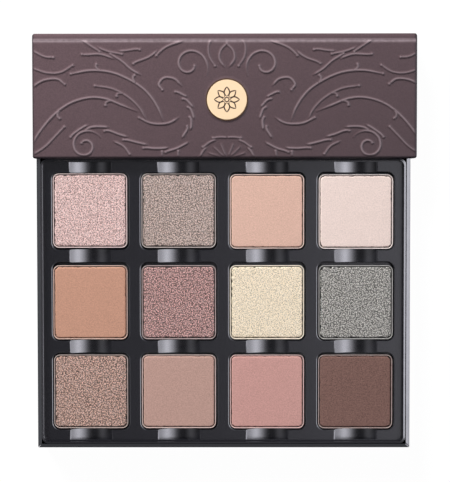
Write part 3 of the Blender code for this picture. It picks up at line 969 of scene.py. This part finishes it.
def emblem():
    """Cream foil disc with a dark gold outline and a dark line rosette."""
    centre, size = node_box("emblem_disc")
    radius = size[0] / 2
    top = size[2] / 2
    turns = [2 * math.pi * index / 96 for index in range(96)]
    stations = [(radius, -top - 0.1), (radius, top - 0.07), (radius - 0.04, top - 0.03)]
    stations += [(radius * share, top - 0.02) for share in (0.97, 0.75, 0.5, 0.25, 0.03)]
    loops = [[(r * math.cos(t), r * math.sin(t), z) for t in turns] for r, z in stations]
    disc = loft("emblem_foil", loops, centre)
    dress(disc, cream_foil(), "emblem_disc", "sleeve")
    outline = loft("emblem_outline", ring_band(radius, radius - 0.42, top - 0.05, top), centre, ring=True)
    flower = flat_shape("emblem_rosette", rosette_strokes(), top - 0.05, top - 0.004, centre)
    eye = loft("emblem_rosette_eye", ring_band(0.95, 0.58, top - 0.05, top), centre, ring=True)
    for piece, material in ((outline, dark_gold()), (flower, dark_ink()), (eye, dark_ink())):
        piece.data.materials.append(material)
        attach(piece, "sleeve")


# ---------------------------------------------------------------- boards

def trimmed_board(node, trim, material, body):
    drop, set_back = trim
    size = node_box(node)[1]
    base = node_foot(node)
    base.y -= set_back / 2 * MM
    half_x, half_y, top = size[0] / 2, (size[1] - set_back) / 2, size[2] - drop
    loops = []
    for inset, z in ((0.0, 0.0), (0.0, top - BOARD_EDGE), (BOARD_EDGE, top)):
        path = rounded_path(half_x - inset, half_y - inset, 0.07, 2, 2)
        loops.append([(x, y, z) for x, y in path])
    made = loft(node.replace("board", "greyboard"), loops, base)
    dress(made, material, node, body)


def trimmed_boards(material):
    """Boards whose CAD shape would show through the modelled paper; returns their nodes."""
    tray = [f"tray_board_{side}" for side in ("left", "right", "top", "bottom")]
    sleeve = [f"sleeve_board_{side}" for side in ("left", "right", "front")]
    for node in tray:
        trimmed_board(node, TRAY_BOARD_TRIM, material, "tray")
    for node in sleeve:
        trimmed_board(node, SLEEVE_BOARD_TRIM, material, "sleeve")
    return tray + sleeve


# ---------------------------------------------------------------- frame parts kept as they are

def finish_frame_parts(board, replaced):
    kept = {"magnet_sheet": magnet_rubber(), "sleeve_lining": lining_paper()}
    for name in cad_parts:
        if "board" in name and name not in replaced:
            kept[name] = board
    for name, material in kept.items():
        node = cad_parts[name]
        if not node.material_slots:
            node.data.materials.append(material)
        for slot in node.material_slots:
            slot.material = material


# ---------------------------------------------------------------- studio

def floor():
    mesh = bpy.data.meshes.new("floor")
    reach = 3.0
    mesh.from_pydata([(-reach, -reach, 0), (reach, -reach, 0), (reach, reach, 0), (-reach, reach, 0)],
                     [], [(0, 1, 2, 3)])
    plane = bpy.data.objects.new("floor", mesh)
    plane.location.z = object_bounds()[0][2] - 0.0002
    bpy.context.collection.objects.link(plane)
    pale = Shader("pale_floor", (66, 66, 66), 0.9, specular=0.1)
    pale.set("Emission Color", (1, 1, 1, 1))
    seen = pale.node("ShaderNodeLightPath").outputs["Is Camera Ray"]
    pale.drive("Emission Strength", pale.remap(seen, 0.0, 1.0, 0.0, 0.97))
    mesh.materials.append(pale.material)
    plane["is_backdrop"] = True


def softbox(name, place, size, power, target=(0, 0, 0)):
    data = bpy.data.lights.new(name, "AREA")
    data.shape = "RECTANGLE"
    data.size, data.size_y = size
    data.energy = power
    lamp = bpy.data.objects.new(name, data)
    lamp.location = place
    lamp.rotation_euler = (Vector(target) - Vector(place)).to_track_quat("-Z", "Y").to_euler()
    lamp.visible_glossy = False
    bpy.context.collection.objects.link(lamp)


def studio_world():
    """Dim studio with a wide bank of light to the right that fades out towards straight up, and
    weak panels to the left and at the near end; mostly seen as reflections."""
    world = bpy.data.worlds.new("studio")
    world.use_nodes = True
    tree = world.node_tree
    background = tree.nodes["Background"]
    place = tree.nodes.new("ShaderNodeTexCoord")
    split = tree.nodes.new("ShaderNodeSeparateXYZ")
    tree.links.new(place.outputs["Generated"], split.inputs["Vector"])

    def remap(source, numbers, kind="LINEAR"):
        change = tree.nodes.new("ShaderNodeMapRange")
        change.interpolation_type = kind
        tree.links.new(source, change.inputs["Value"])
        for socket, number in zip(("From Min", "From Max", "To Min", "To Max"), numbers):
            change.inputs[socket].default_value = number
        return change.outputs["Result"]

    def combine(operation, first, second):
        made = tree.nodes.new("ShaderNodeMath")
        made.operation = operation
        for socket, value in zip(made.inputs, (first, second)):
            if isinstance(value, float):
                socket.default_value = value
            else:
                tree.links.new(value, socket)
        return made.outputs[0]

    # The bank: faint at its foot, then rising towards the right, short along Y, dimmer at its end
    foot = remap(split.outputs["X"], (0.03, 0.085, 0.0, 0.38))
    dip = remap(split.outputs["X"], (0.095, 0.115, 0.0, -0.2))
    rise = remap(split.outputs["X"], (0.135, 0.62, 0.0, BANK_RADIANCE - 0.18))
    ramp = combine("ADD", combine("ADD", foot, dip), rise)
    across = combine("ABSOLUTE", combine("SUBTRACT", split.outputs["Y"], 0.06), 0.0)
    window = remap(across, (0.2, 0.5, 1.0, 0.0), "SMOOTHSTEP")
    edge = remap(split.outputs["X"], (0.66, 0.88, 1.0, 0.5))
    bank = combine("MULTIPLY", combine("MULTIPLY", ramp, window), edge)
    # The panels to the left and at the near end
    leftward = combine("ABSOLUTE", combine("ADD", split.outputs["X"], 0.64), 0.0)
    left = remap(leftward, (0.05, 0.25, 0.36, 0.0))
    downward = combine("ABSOLUTE", combine("ADD", split.outputs["Y"], 0.66), 0.0)
    low = remap(downward, (0.06, 0.2, 0.2, 0.0))
    panels = combine("ADD", combine("ADD", bank, left), low)
    seen = tree.nodes.new("ShaderNodeLightPath").outputs["Is Diffuse Ray"]
    share = remap(seen, (0.0, 1.0, 1.0, FILL_SHARE))
    lit = combine("ADD", combine("MULTIPLY", panels, share), AMBIENT)
    tree.links.new(lit, background.inputs["Strength"])
    background.inputs["Color"].default_value = (0.97, 0.96, 1.06, 1.0)
    bpy.context.scene.world = world


def camera():
    """Long lens almost straight above, leaning a little towards the sleeve's end."""
    data = bpy.data.cameras.new("camera")
    data.sensor_fit = "HORIZONTAL"
    data.sensor_width = 36.0
    data.lens = 123.7
    data.clip_start = 0.01
    eye = bpy.data.objects.new("camera", data)
    target = Vector((0.00007, 0.0002, 0.0094))
    turn = (Matrix.Rotation(math.radians(0.206), 3, "Y") @ Matrix.Rotation(math.radians(-2.39), 3, "X")
            @ Matrix.Rotation(math.radians(-0.061), 3, "Z"))
    eye.matrix_world = Matrix.Translation(target + turn @ Vector((0, 0, 0.55))) @ turn.to_4x4()
    bpy.context.collection.objects.link(eye)
    bpy.context.scene.camera = eye


def studio():
    floor()
    studio_world()
    softbox("softbox_top", (-0.43, 0.82, 0.49), (0.6, 0.25), 22.6)
    camera()
    bpy.context.scene.view_settings.view_transform = "Standard"


def main():
    tray_wrap(black_paper())
    tray_insert(black_plastic())
    pans_and_powders()
    sleeve_wrap(embossed_paper())
    emblem()
    board = greyboard()
    finish_frame_parts(board, trimmed_boards(board))
    studio()


main()
